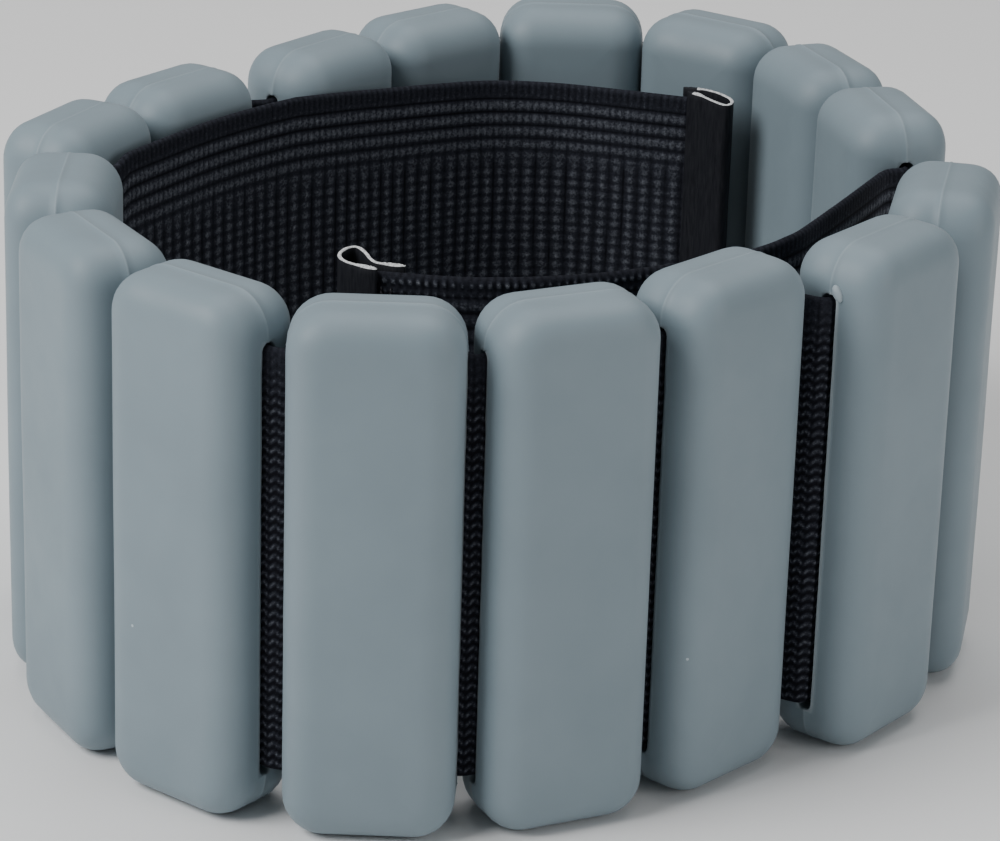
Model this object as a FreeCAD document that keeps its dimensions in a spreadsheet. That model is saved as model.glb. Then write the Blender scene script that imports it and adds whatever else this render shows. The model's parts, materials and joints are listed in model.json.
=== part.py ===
"""Wrist or ankle weight: two eight-bar bands fastened end to end into one standing ring.

Every bar is a steel core inside a soft silicone jacket, and one elastic strap runs through the
slots of its band's eight bars. The strap's long tail leaves bar 1 of its band and lies inside
the other band, so the two tails close the ring.

The ring stands on the bottoms of its bars. The origin is the centre of its outline on that
plane, +Z is up and -Y is the front. A bar's own frame has its origin at the bar's centre, +X
along the ring towards the next bar, -Y outwards and +Z up.
"""
import FreeCAD, Part
import math
import os

import Sketcher
from FreeCAD import Placement, Rotation, Vector

BANDS = ("front", "rear")
OTHER = {"front": "rear", "rear": "front"}
BAR_COUNT = 8
UP = Vector(0, 0, 1)

SIZES = {
    # One bar, in millimetres
    "bar_width": 20.6,
    "bar_height": 66.0,
    "bar_depth": 13.8,
    "bar_corner": 5.0,
    "bar_edge": 4.9,
    "core_width": 16.6,
    "core_height": 61.0,
    "core_depth": 10.0,
    "core_corner": 3.0,
    "core_edge": 1.6,
    "slot_wide": 2.2,
    "slot_tall": 55.0,
    "slot_round": 0.9,
    "window_wide": 4.2,
    "window_tall": 57.0,
    "window_round": 1.5,
    # Webbing, tape and thread
    "strap_thick": 1.4,
    "strap_tall": 53.0,
    "strap_relief": 0.5,
    "strap_inset": 2.0,
    "tail_start": 3.0,
    "peel_relief": 0.7,
    "hook_thick": 0.7,
    "hook_tall": 47.0,
    "hook_long": 9.0,
    "hook_back": 1.0,
    "tab_long": 6.5,
    "tab_wide": 3.6,
    "tab_round": 1.7,
    "tab_hole_long": 4.9,
    "tab_hole_wide": 2.0,
    "tab_hole_round": 0.9,
    "stitch_thick": 0.3,
    "stitch_wide": 0.5,
    "stitch_long": 2.4,
    "stitch_pitch": 4.0,
    "stitch_back": 0.8,
    "stitch_apart": 1.1,
    # Where rear bar 8 is from front bar 1, and how front bar 1 is turned
    "closure_gap": 3.4,
    "closure_step": 5.2,
    "closure_bend": 27.0,
    "first_turn": -90.0,
    # Where a tail turns inwards outside its slot, and where it turns on along the other band
    "turn_out": 1.4,
    "knee_out": 2.4,
    "knee_in": 3.2,
}

# From each bar of a band to the next, bar 1 to bar 8: the gap and the outward step in
# millimetres, and the bend in degrees
GAPS = {"front": (3.5, 1.5, 2.5, 2.0, 2.0, 3.0, 4.5), "rear": (1.0, 2.0, 2.0, 3.0, 1.0, 5.5, 1.0)}
STEPS = {"front": (0, 0, 0, 0, 0, 6, 0), "rear": (0, 0, 0, 0, 0, 3, 0)}
BENDS = {"front": (30, 21, 38, 25, 22, 5, 28), "rear": (7, 33, 34, 43, 10, 0, 11)}

# How far a band's tail stands in from the bars it passes, from the other band's bar 8 on, and
# how many of those bars the held stretch of tail passes before the stretch that peels off
STAND_IN = {"front": (1.0, 1.0, 1.5, 6.0, 9.0, 6.0), "rear": (6.5, 7.0, 10.5, 15.0, 20.0)}
HELD_BARS = {"front": 4, "rear": 3}

# How far a tail's end goes on past the middle of the last bar it passes
TIP_ON = {"front": 3.2, "rear": 1.5}
STITCH_COUNT = 12


def driving_sheet(doc):
    """The spreadsheet of driving dimensions, one aliased cell a dimension."""
    sheet = doc.addObject("Spreadsheet::Sheet", "Sizes")
    cells = dict(SIZES)
    for band in BANDS:
        for kind, values in (("gap", GAPS), ("step", STEPS), ("bend", BENDS)):
            for number, value in enumerate(values[band], start=1):
                cells[f"{band}_{kind}_{number}"] = value
        for number, distance in enumerate(STAND_IN[band], start=1):
            cells[f"{band}_stand_in_{number}"] = distance
        cells[f"{band}_tip_on"] = TIP_ON[band]
    for row, (alias, value) in enumerate(cells.items(), start=1):
        sheet.set(f"A{row}", alias)
        sheet.set(f"B{row}", str(value))
        sheet.setAlias(f"B{row}", alias)
    doc.recompute()
    return sheet


DOC = FreeCAD.newDocument("bar_weight_ring")
SHEET = driving_sheet(DOC)
SUBPARTS = []


def size(alias):
    """A driving dimension, read from the spreadsheet."""
    return float(SHEET.get(alias))


# ---------------------------------------------------------------- where everything lies

def slide(x, y=0.0, z=0.0):
    """A placement that only moves."""
    return Placement(Vector(x, y, z), Rotation())


def turn(degrees):
    """A placement that only turns about the vertical."""
    return Placement(Vector(), Rotation(UP, degrees))


def half_way(band, number):
    """From a bar's centre to the hinge between it and the next bar of its band."""
    return slide((size("bar_width") + size(f"{band}_gap_{number}")) / 2,
                 -size(f"{band}_step_{number}") / 2)


def lay_ring():
    """Placements of all bars and hinges, keyed by band and number, not yet centred."""
    bars, hinges = {}, {}
    half_bar = size("bar_width") / 2
    first = turn(size("first_turn"))
    bars["front", 1] = first
    for number in range(1, BAR_COUNT):
        step = half_way("front", number)
        hinges["front", number] = bars["front", number] * step
        bend = turn(size(f"front_bend_{number}"))
        bars["front", number + 1] = hinges["front", number] * bend * step
    mouth = first * slide(-half_bar - size("closure_gap"), -size("closure_step"))
    hinges["closure", 1] = mouth * slide(size("closure_gap") / 2)
    bars["rear", BAR_COUNT] = mouth * turn(-size("closure_bend")) * slide(-half_bar)
    for number in range(BAR_COUNT - 1, 0, -1):
        step = half_way("rear", number).inverse()
        hinges["rear", number] = bars["rear", number + 1] * step
        bend = turn(-size(f"rear_bend_{number}"))
        bars["rear", number] = hinges["rear", number] * bend * step
    return bars, hinges


def outline_centre(bars):
    """The centre of the ring's outline in plan."""
    round_off = size("bar_edge")
    half_flat = size("bar_width") / 2 - round_off
    half_deep = size("bar_depth") / 2 - round_off
    corners = [bar.multVec(Vector(along, across, 0)) for bar in bars.values()
               for along in (-half_flat, half_flat) for across in (-half_deep, half_deep)]
    xs = [corner.x for corner in corners]
    ys = [corner.y for corner in corners]
    return Vector((min(xs) + max(xs)) / 2, (min(ys) + max(ys)) / 2, 0)


def centred_ring():
    """Placements of all bars and hinges, with the ring's outline centred on the origin."""
    bars, hinges = lay_ring()
    move = Placement(Vector(0, 0, size("bar_height") / 2) - outline_centre(bars), Rotation())
    return ({key: move * bar for key, bar in bars.items()},
            {key: move * hinge for key, hinge in hinges.items()})


BAR_AT, HINGE_AT = centred_ring()


def tail_route(band):
    """Corners of a tail's held and peeling parts, on its outward face, and their hinge's point.

    The hinge is a crease in the inward face, so that the end peels inwards clear of the rest.
    """
    own = BAR_AT[band, 1]
    mouth = size("bar_width") / 2
    face = size("strap_thick") / 2
    points = [own.multVec(Vector(size("tail_start") - mouth, -face, 0)),
              own.multVec(Vector(-mouth - size("turn_out"), -face, 0)),
              own.multVec(Vector(-mouth - size("knee_out"), size("knee_in"), 0))]
    last = len(STAND_IN[band]) - 1
    for index in range(last + 1):
        passed = BAR_AT[OTHER[band], BAR_COUNT - index]
        stand_in = size("bar_depth") / 2 + size(f"{band}_stand_in_{index + 1}")
        on = size(f"{band}_tip_on") if index == last else 0
        points.append(passed.multVec(Vector(-on, stand_in, 0)))
    last_held = 2 + HELD_BARS[band]
    near, far = points[last_held], points[last_held + 1]
    middle = (near + far) * 0.5
    onwards = (far - near).normalize()
    relief = onwards * size("peel_relief")
    crease = middle + Vector(onwards.y, -onwards.x, 0) * size("strap_thick")
    held = points[:last_held + 1] + [middle - relief]
    peeling = [middle + relief] + points[last_held + 1:]
    return held, peeling, crease


def end_frame(points):
    """The frame at a route's end: +X onwards along the tail, +Y outwards."""
    onwards = points[-1] - points[-2]
    return Placement(points[-1], Rotation(UP, math.degrees(math.atan2(onwards.y, onwards.x))))


def rounded_route(points):
    """A wire through a route's corners: straight runs joined by tangent arcs."""
    edges = []
    start = points[0]
    for before, corner, after in zip(points, points[1:], points[2:]):
        back, ahead = before - corner, after - corner
        reach = 0.45 * min(back.Length, ahead.Length)
        half_angle = back.getAngle(ahead) / 2
        arc_start = corner + back.normalize() * reach
        arc_end = corner + ahead.normalize() * reach
        cut = reach * (1 - math.sin(half_angle)) / math.cos(half_angle)
        arc_middle = corner + (back + ahead).normalize() * cut
        edges.append(Part.LineSegment(start, arc_start).toShape())
        edges.append(Part.Arc(arc_start, arc_middle, arc_end).toShape())
        start = arc_end
    edges.append(Part.LineSegment(start, points[-1]).toShape())
    return Part.Wire(edges)


# ---------------------------------------------------------------- features

def rounded_rectangle(body, name, plane_role, across, upright, radius):
    """A sketch of a rounded rectangle about the body's origin, bound to three named sizes."""
    sketch = body.newObject("Sketcher::SketchObject", name)
    plane = next(item for item in body.Origin.OriginFeatures if item.Role == plane_role)
    sketch.AttachmentSupport = (plane, [""])
    sketch.MapMode = "FlatFace"
    half_x, half_y, round_off = size(across) / 2, size(upright) / 2, size(radius)
    flat_x, flat_y = half_x - round_off, half_y - round_off
    sides = [((-flat_x, -half_y), (flat_x, -half_y)), ((half_x, -flat_y), (half_x, flat_y)),
             ((flat_x, half_y), (-flat_x, half_y)), ((-half_x, flat_y), (-half_x, -flat_y))]
    centres = [(flat_x, -flat_y), (flat_x, flat_y), (-flat_x, flat_y), (-flat_x, -flat_y)]
    for index, (side, centre) in enumerate(zip(sides, centres)):
        start, end = (Vector(*point, 0) for point in side)
        sketch.addGeometry(Part.LineSegment(start, end), False)
        circle = Part.Circle(Vector(*centre, 0), UP, round_off)
        quarter = math.pi / 2
        arc = Part.ArcOfCircle(circle, (index - 1) * quarter, index * quarter)
        sketch.addGeometry(arc, False)
    for line in (0, 2, 4, 6):
        arc, following = line + 1, (line + 2) % 8
        sketch.addConstraint(Sketcher.Constraint("Tangent", line, 2, arc, 1))
        sketch.addConstraint(Sketcher.Constraint("Tangent", arc, 2, following, 1))
        direction = "Horizontal" if line in (0, 4) else "Vertical"
        sketch.addConstraint(Sketcher.Constraint(direction, line))
    for arc in (3, 5, 7):
        sketch.addConstraint(Sketcher.Constraint("Equal", 1, arc))
    sketch.addConstraint(Sketcher.Constraint("Symmetric", 1, 3, 5, 3, -1, 1))
    bound = (("across", "DistanceX", (6, 1, 2, 1), across, 2 * half_x),
             ("upright", "DistanceY", (0, 1, 4, 2), upright, 2 * half_y),
             ("corner", "Radius", (1,), radius, round_off))
    for title, kind, where, alias, value in bound:
        index = sketch.addConstraint(Sketcher.Constraint(kind, *where, value))
        sketch.renameConstraint(index, title)
        sketch.setExpression(f"Constraints.{title}", f"Sizes.{alias}")
    return sketch


def symmetric_feature(body, kind, name, sketch, length):
    """A pad or pocket that goes half its length each side of its sketch."""
    feature = body.newObject(f"PartDesign::{kind}", name)
    feature.Profile = sketch
    feature.SideType = "Symmetric"
    feature.setExpression("Length", length)
    DOC.recompute()
    return feature


def rounded_edges(body, name, base, deep, alias):
    """Fillets on the edges of a base that lie in its two faces at plus and minus half of deep."""
    names = []
    for number, edge in enumerate(base.Shape.Edges, start=1):
        box = edge.BoundBox
        flat = abs(box.YMax - box.YMin) < 1e-6
        if flat and abs(abs(box.YMin) - deep / 2) < 1e-6:
            names.append(f"Edge{number}")
    fillet = body.newObject("PartDesign::Fillet", name)
    fillet.Base = (base, names)
    fillet.setExpression("Radius", f"Sizes.{alias}")
    DOC.recompute()
    return fillet


def new_body(name):
    """An empty body."""
    return DOC.addObject("PartDesign::Body", name)


def core_pattern():
    """The steel core: a block with a window for the strap."""
    body = new_body("core_pattern")
    outline = rounded_rectangle(body, "core_outline", "XZ_Plane",
                                "core_width", "core_height", "core_corner")
    block = symmetric_feature(body, "Pad", "core_block", outline, "Sizes.core_depth")
    rounded_edges(body, "core_rounding", block, size("core_depth"), "core_edge")
    window = rounded_rectangle(body, "core_window_outline", "YZ_Plane",
                               "window_wide", "window_tall", "window_round")
    symmetric_feature(body, "Pocket", "core_window", window, "Sizes.bar_width")
    return body


def jacket_pattern():
    """The silicone jacket: a rounded bar, hollow for its core, with a lined slot through it."""
    body = new_body("jacket_pattern")
    outline = rounded_rectangle(body, "jacket_outline", "XZ_Plane",
                                "bar_width", "bar_height", "bar_corner")
    block = symmetric_feature(body, "Pad", "jacket_block", outline, "Sizes.bar_depth")
    rounded_edges(body, "jacket_rounding", block, size("bar_depth"), "bar_edge")
    hollow_outline = rounded_rectangle(body, "hollow_outline", "XZ_Plane",
                                       "core_width", "core_height", "core_corner")
    hollow = symmetric_feature(body, "Pocket", "hollow", hollow_outline, "Sizes.core_depth")
    rounded_edges(body, "hollow_rounding", hollow, size("core_depth"), "core_edge")
    lining_outline = rounded_rectangle(body, "lining_outline", "YZ_Plane",
                                       "window_wide", "window_tall", "window_round")
    symmetric_feature(body, "Pad", "lining", lining_outline, "Sizes.core_width")
    slot_outline = rounded_rectangle(body, "slot_outline", "YZ_Plane",
                                     "slot_wide", "slot_tall", "slot_round")
    symmetric_feature(body, "Pocket", "slot", slot_outline, "Sizes.bar_width + 2")
    return body


def tab_pattern():
    """The end tab: tape folded into a flat loop as tall as the strap."""
    body = new_body("tab_pattern")
    outline = rounded_rectangle(body, "tab_outline", "XY_Plane",
                                "tab_long", "tab_wide", "tab_round")
    symmetric_feature(body, "Pad", "tab_loop", outline, "Sizes.strap_tall")
    hole = rounded_rectangle(body, "tab_hole_outline", "XY_Plane",
                             "tab_hole_long", "tab_hole_wide", "tab_hole_round")
    symmetric_feature(body, "Pocket", "tab_hole", hole, "Sizes.strap_tall + 2")
    return body


def subpart(made, node, placement):
    """Label an object as a sub-part and put it in its place."""
    made.Label = node
    made.Placement = placement
    SUBPARTS.append(made)
    return made


def copy_of(pattern, node, placement):
    """A body cloned from a pattern, as the sub-part of that name."""
    body = new_body(node)
    clone = body.newObject("PartDesign::FeatureBase", f"{node}_clone")
    clone.BaseFeature = pattern
    body.Tip = clone
    return subpart(body, node, placement)


def flat_box(node, placement, length, width, height):
    """A box bound to three expressions, with its length along +X of its placement."""
    box = DOC.addObject("Part::Box", node)
    for side, expression in (("Length", length), ("Width", width), ("Height", height)):
        box.setExpression(side, expression)
    return subpart(box, node, placement)


def strap_reach(band, number, side):
    """How far a bar's strap goes along the bar from its centre, as an expression.

    Side is 1 towards the next bar and -1 towards the one before. The strap stops short of the
    hinge, or inside the slot where its band has no further bar.
    """
    if number + side == 0:
        return "Sizes.bar_width / 2 - Sizes.tail_start"
    if number + side > BAR_COUNT:
        return "Sizes.bar_width / 2 - Sizes.strap_inset"
    joint = number if side == 1 else number - 1
    return f"Sizes.bar_width / 2 + Sizes.{band}_gap_{joint} / 2 - Sizes.strap_relief"


def bent_end(band, number, side):
    """The corners beyond its slot of the middle of a strap that steps in or out to a hinge."""
    joint = number if side == 1 else number - 1
    if not 1 <= joint < BAR_COUNT or not size(f"{band}_step_{joint}"):
        reach = SHEET.evalExpression(strap_reach(band, number, side))
        return [Vector(side * float(reach), 0, 0)]
    hinge = half_way(band, joint).Base * side
    knee = Vector(side * (size("bar_width") / 2 + size(f"{band}_gap_{joint}") / 4), 0, 0)
    return [knee, hinge + (knee - hinge).normalize() * size("strap_relief")]


def outward_face(points):
    """The corners of a strap's outward face, from those of its middle."""
    half = size("strap_thick") / 2
    ways = [(after - before).normalize() for before, after in zip(points, points[1:])]
    faces = []
    for point, way_in, way_out in zip(points, ways[:1] + ways, ways + ways[-1:]):
        mitre = (way_in + way_out).normalize()
        across = Vector(mitre.y, -mitre.x, 0)
        faces.append(point + across * (half / mitre.dot(way_in)))
    return faces


def strap_segment(band, number):
    """The stretch of strap that one bar carries."""
    node = f"{band}_strap_{number}"
    before, after = bent_end(band, number, -1), bent_end(band, number, 1)
    if len(before) + len(after) == 2:
        start = before[0] - Vector(0, size("strap_thick") / 2, size("strap_tall") / 2)
        length = f"{strap_reach(band, number, -1)} + {strap_reach(band, number, 1)}"
        return flat_box(node, BAR_AT[band, number] * Placement(start, Rotation()),
                        length, "Sizes.strap_thick", "Sizes.strap_tall")
    corners = outward_face(before[::-1] + after)
    route = [BAR_AT[band, number].multVec(corner) for corner in reversed(corners)]
    return upright_strap(node, Part.makePolygon(route))


def upright_strap(node, wire):
    """A stretch of webbing on edge, from its outward face in plan to its thickness inwards."""
    route = DOC.addObject("Part::Feature", f"{node}_route")
    route.Shape = wire
    face = DOC.addObject("Part::Offset2D", f"{node}_plan")
    face.Source = route
    face.Mode = "Skin"
    face.Fill = True
    face.setExpression("Value", "Sizes.strap_thick")
    strap = DOC.addObject("Part::Extrusion", node)
    strap.Base = face
    strap.DirMode = "Custom"
    strap.Dir = UP
    strap.setExpression("LengthFwd", "Sizes.strap_tall")
    return subpart(strap, node, slide(0, 0, -size("strap_tall") / 2))


def tab_stitching(node, end):
    """Two upright rows of stitches through the tape and the end of the tail, as one group."""
    inner_face = -size("strap_thick") - size("stitch_thick")
    stitches = []
    for row in range(2):
        along = -size("stitch_back") - row * size("stitch_apart")
        for index in range(STITCH_COUNT):
            height = (index - (STITCH_COUNT - 1) / 2) * size("stitch_pitch")
            corner = Vector(along, inner_face, height - size("stitch_long") / 2)
            stitches.append(Part.makeBox(size("stitch_wide"), size("stitch_thick"),
                                         size("stitch_long"), corner))
    group = DOC.addObject("Part::Feature", node)
    group.Shape = Part.makeCompound(stitches)
    return subpart(group, node, end)


def make_bars():
    """The cores, jackets and strap segments of all bars."""
    core, jacket = core_pattern(), jacket_pattern()
    for band in BANDS:
        for number in range(1, BAR_COUNT + 1):
            placement = BAR_AT[band, number]
            copy_of(core, f"{band}_core_{number}", placement)
            copy_of(jacket, f"{band}_jacket_{number}", placement)
            strap_segment(band, number)


def make_tails():
    """Each band's tail in two stretches, with its hook patch, end tab and stitching."""
    tab = tab_pattern()
    for band in BANDS:
        held, peeling, _ = tail_route(band)
        upright_strap(f"{band}_tail_held", rounded_route(held))
        upright_strap(f"{band}_tail_end", rounded_route(peeling))
        end = end_frame(peeling)
        middle = slide(size("tab_long") / 2, -size("strap_thick") / 2)
        copy_of(tab, f"{band}_end_tab", end * middle)
        corner = slide(-size("hook_back") - size("hook_long"), 0, -size("hook_tall") / 2)
        flat_box(f"{band}_hook_patch", end * corner,
                 "Sizes.hook_long", "Sizes.hook_thick", "Sizes.hook_tall")
        tab_stitching(f"{band}_tab_stitching", end)


def check_document():
    """Stop if any object failed to build, or if a sub-part has no valid solid."""
    DOC.recompute()
    failed = [item.Name for item in DOC.Objects if {"Invalid", "Error"} & set(item.State)]
    if failed:
        raise RuntimeError(f"objects that failed: {failed}")
    for made in SUBPARTS:
        shape = made.Shape
        if shape.isNull() or not shape.isValid() or not shape.Solids:
            raise RuntimeError(f"{made.Label} has no valid solid")


def export_subparts():
    """Write every sub-part to its own STEP file."""
    os.makedirs("parts", exist_ok=True)
    for made in SUBPARTS:
        made.Shape.exportStep(f"parts/{made.Label}.step")


make_bars()
make_tails()
check_document()
export_subparts()
print(len(SUBPARTS), "sub-parts")
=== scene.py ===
"""Visual model of the bar weight ring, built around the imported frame.

All shapes are worked out in millimetres and turned into metres when their meshes are made. A
bar's own frame has its origin at the bar's centre, +X along the ring towards the next bar, -Y
outwards and +Z up, as in the CAD model.
"""
import json
import math

import bmesh
import bpy
import numpy as np
from mathutils import Matrix, Vector, noise

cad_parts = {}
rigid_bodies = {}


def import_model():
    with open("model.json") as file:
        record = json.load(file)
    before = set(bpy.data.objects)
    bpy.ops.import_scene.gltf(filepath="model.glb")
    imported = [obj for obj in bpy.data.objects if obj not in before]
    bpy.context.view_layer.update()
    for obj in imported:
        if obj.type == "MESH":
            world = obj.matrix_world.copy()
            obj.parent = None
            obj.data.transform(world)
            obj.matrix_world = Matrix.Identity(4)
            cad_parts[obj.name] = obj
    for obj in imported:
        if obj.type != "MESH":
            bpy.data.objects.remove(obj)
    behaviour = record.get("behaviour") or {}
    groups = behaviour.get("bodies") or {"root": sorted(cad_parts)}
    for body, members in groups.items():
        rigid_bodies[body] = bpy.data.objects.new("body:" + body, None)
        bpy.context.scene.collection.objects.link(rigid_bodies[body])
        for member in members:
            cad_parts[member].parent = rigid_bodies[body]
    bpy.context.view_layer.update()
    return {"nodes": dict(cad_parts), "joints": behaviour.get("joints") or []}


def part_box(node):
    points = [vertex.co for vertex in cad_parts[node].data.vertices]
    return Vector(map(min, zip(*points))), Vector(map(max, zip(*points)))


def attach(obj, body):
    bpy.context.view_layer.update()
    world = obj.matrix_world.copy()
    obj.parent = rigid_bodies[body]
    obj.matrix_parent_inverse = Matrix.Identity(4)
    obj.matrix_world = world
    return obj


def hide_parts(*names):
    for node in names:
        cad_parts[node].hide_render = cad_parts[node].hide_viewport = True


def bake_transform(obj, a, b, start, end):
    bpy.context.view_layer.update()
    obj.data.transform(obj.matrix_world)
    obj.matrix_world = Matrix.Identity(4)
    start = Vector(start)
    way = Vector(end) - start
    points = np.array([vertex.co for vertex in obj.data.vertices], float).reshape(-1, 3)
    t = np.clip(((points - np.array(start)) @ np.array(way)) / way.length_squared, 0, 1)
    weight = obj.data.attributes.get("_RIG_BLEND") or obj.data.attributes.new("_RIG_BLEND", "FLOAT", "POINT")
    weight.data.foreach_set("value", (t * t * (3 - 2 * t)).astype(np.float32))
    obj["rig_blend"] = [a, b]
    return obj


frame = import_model()

MM = 0.001
BANDS = ("front", "rear")
OTHER = {"front": "rear", "rear": "front"}
BAR_COUNT = 8

# The bars and straps, in millimetres, as in the CAD model
BAR_WIDTH, BAR_HEIGHT, BAR_DEPTH = 20.6, 66.0, 13.8
BAR_CORNER, BAR_EDGE = 5.0, 4.9
SLOT_HALF_WIDE, SLOT_HALF_TALL, SLOT_ROUND = 1.1, 27.5, 0.9
STRAP_THICK, STRAP_TALL = 1.4, 53.0
CLOSURE_GAP, CLOSURE_STEP, CLOSURE_BEND, FIRST_TURN = 3.4, 5.2, 27.0, -90.0
TURN_OUT, KNEE_OUT, KNEE_IN = 1.4, 2.4, 3.2
GAPS = {"front": (3.5, 1.5, 2.5, 2.0, 2.0, 3.0, 4.5), "rear": (1.0, 2.0, 2.0, 3.0, 1.0, 5.5, 1.0)}
STEPS = {"front": (0, 0, 0, 0, 0, 6, 0), "rear": (0, 0, 0, 0, 0, 3, 0)}
BENDS = {"front": (30, 21, 38, 25, 22, 5, 28), "rear": (7, 33, 34, 43, 10, 0, 11)}
STAND_IN = {"front": (1.0, 1.0, 1.5, 6.0, 9.0, 6.0), "rear": (6.5, 7.0, 10.5, 15.0, 20.0)}
HELD_BARS = {"front": 4, "rear": 3}
TIP_ON = {"front": 3.2, "rear": 1.5}


# ---------------------------------------------------------------- where everything lies

def slide(x, y=0.0):
    return Matrix.Translation((x, y, 0))


def turn(degrees):
    return Matrix.Rotation(math.radians(degrees), 4, "Z")


def half_way(band, number):
    """From a bar's centre to the hinge between it and the next bar of its band."""
    gap, step = GAPS[band][number - 1], STEPS[band][number - 1]
    return slide((BAR_WIDTH + gap) / 2, -step / 2)


def lay_ring():
    """Matrices of all bars in millimetres, keyed by band and number."""
    bars = {("front", 1): turn(FIRST_TURN)}
    for number in range(1, BAR_COUNT):
        step = half_way("front", number)
        bend = turn(BENDS["front"][number - 1])
        bars["front", number + 1] = bars["front", number] @ step @ bend @ step
    mouth = bars["front", 1] @ slide(-BAR_WIDTH / 2 - CLOSURE_GAP, -CLOSURE_STEP)
    bars["rear", BAR_COUNT] = mouth @ turn(-CLOSURE_BEND) @ slide(-BAR_WIDTH / 2)
    for number in range(BAR_COUNT - 1, 0, -1):
        step = half_way("rear", number).inverted()
        bend = turn(-BENDS["rear"][number - 1])
        bars["rear", number] = bars["rear", number + 1] @ step @ bend @ step
    low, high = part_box("front_jacket_1")
    move = Matrix.Translation((low + high) / 2 / MM - bars["front", 1].translation)
    return {key: move @ bar for key, bar in bars.items()}


BAR_AT = lay_ring()


def plan(matrix, x, y):
    """A point of a bar's frame, in plan, in millimetres."""
    return np.array((matrix @ Vector((x, y, 0)))[:2])


def tail_route(band):
    """Corners of a tail's middle line in plan, from the middle of its own bar 1 to its tip."""
    own = BAR_AT[band, 1]
    mouth, half = BAR_WIDTH / 2, STRAP_THICK / 2
    points = [plan(own, 0, 0), plan(own, -mouth - TURN_OUT + half, 0),
              plan(own, -mouth - KNEE_OUT + half, KNEE_IN + half / 2)]
    last = len(STAND_IN[band]) - 1
    for index, stand_in in enumerate(STAND_IN[band]):
        passed = BAR_AT[OTHER[band], BAR_COUNT - index]
        on = TIP_ON[band] if index == last else 0
        points.append(plan(passed, -on, BAR_DEPTH / 2 + stand_in + half))
    return points


def distances(line):
    """How far along a line each of its points is."""
    return np.concatenate([[0], np.cumsum(np.linalg.norm(np.diff(line, axis=0), axis=1))])


def sideways(line):
    """The unit normal of a line at each of its points."""
    ways = np.gradient(line, axis=0)
    ways /= np.linalg.norm(ways, axis=1)[:, None]
    return np.stack([-ways[:, 1], ways[:, 0]], axis=1)


def smooth_route(points, pitch):
    """Evenly spaced points along a route, whose corners are rounded."""
    curve = [points[0]]
    for before, corner, after in zip(points, points[1:], points[2:]):
        back, ahead = before - corner, after - corner
        reach = 0.46 * min(np.linalg.norm(back), np.linalg.norm(ahead))
        start = corner + back / np.linalg.norm(back) * reach
        end = corner + ahead / np.linalg.norm(ahead) * reach
        for t in np.linspace(0, 1, 17):
            curve.append((1 - t) ** 2 * start + 2 * t * (1 - t) * corner + t * t * end)
    curve.append(points[-1])
    return evenly(np.array(curve), pitch)


def evenly(curve, pitch):
    """A line's points moved to an even spacing along it."""
    far = distances(curve)
    wanted = np.linspace(0, far[-1], max(2, round(far[-1] / pitch) + 1))
    return np.stack([np.interp(wanted, far, curve[:, axis]) for axis in (0, 1)], axis=1)


def smooth_line(points, pitch):
    """A smooth line through points (Catmull-Rom), evenly spaced."""
    points = np.array(points, float)
    ends = np.vstack([2 * points[0] - points[1], points, 2 * points[-1] - points[-2]])
    curve = []
    for a, b, c, d in zip(ends, ends[1:], ends[2:], ends[3:]):
        for t in np.linspace(0, 1, 16, endpoint=False):
            curve.append(0.5 * (2 * b + (c - a) * t + (2 * a - 5 * b + 4 * c - d) * t ** 2
                                + (3 * b - a - 3 * c + d) * t ** 3))
    curve.append(points[-1])
    return evenly(np.array(curve), pitch)


# ---------------------------------------------------------------- materials

def node_tree(name, base, roughness, **sockets):
    """A new material with its Principled shader, and a function that adds a linked node."""
    made = bpy.data.materials.new(name)
    made.use_nodes = True
    tree = made.node_tree
    shader = tree.nodes["Principled BSDF"]
    shader.inputs["Base Color"].default_value = (*base, 1)
    shader.inputs["Roughness"].default_value = roughness
    for socket, value in sockets.items():
        shader.inputs[socket.replace("_", " ")].default_value = value

    def add(kind, links=(), **settings):
        node = tree.nodes.new(kind)
        for key, value in settings.items():
            setattr(node, key, value)
        for socket, source in links:
            if isinstance(source, bpy.types.NodeSocket):
                tree.links.new(source, node.inputs[socket])
            else:
                node.inputs[socket].default_value = source
        return node

    def link(source, socket):
        tree.links.new(source, shader.inputs[socket])

    return made, add, link


def ramp(add, source, stops):
    """A colour ramp with (position, grey or colour) stops."""
    node = add("ShaderNodeValToRGB", [(0, source)])
    elements = node.color_ramp.elements
    while len(elements) < len(stops):
        elements.new(0.5)
    for element, (position, colour) in zip(elements, stops):
        element.position = position
        colour = colour if hasattr(colour, "__len__") else (colour,) * 3
        element.color = (*colour, 1)
    return node.outputs[0]


def place(add, scale=(1, 1, 1)):
    """The object's own coordinates, in metres, scaled."""
    where = add("ShaderNodeTexCoord").outputs["Object"]
    return add("ShaderNodeMapping", [("Vector", where), ("Scale", scale)]).outputs[0]


def mixed(add, factor, first, second):
    """Two colours mixed by a factor."""
    links = [("Factor", factor), ("A", first), ("B", second)]
    node = add("ShaderNodeMix", data_type="RGBA", blend_type="MIX")
    for socket, source in links:
        sockets = [s for s in node.inputs if s.name == socket and s.enabled]
        target = sockets[0]
        if isinstance(source, bpy.types.NodeSocket):
            node.id_data.links.new(source, target)
        else:
            target.default_value = source
    return [s for s in node.outputs if s.enabled][0]


def bump(add, height, strength, distance, under=None):
    links = [("Strength", strength), ("Distance", distance), ("Height", height)]
    if under:
        links.append(("Normal", under))
    return add("ShaderNodeBump", links).outputs[0]


def noise_texture(add, where, scale, detail=2.0, roughness=0.5):
    links = [("Vector", where), ("Scale", scale), ("Detail", detail), ("Roughness", roughness)]
    return add("ShaderNodeTexNoise", links).outputs["Fac"]


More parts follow.
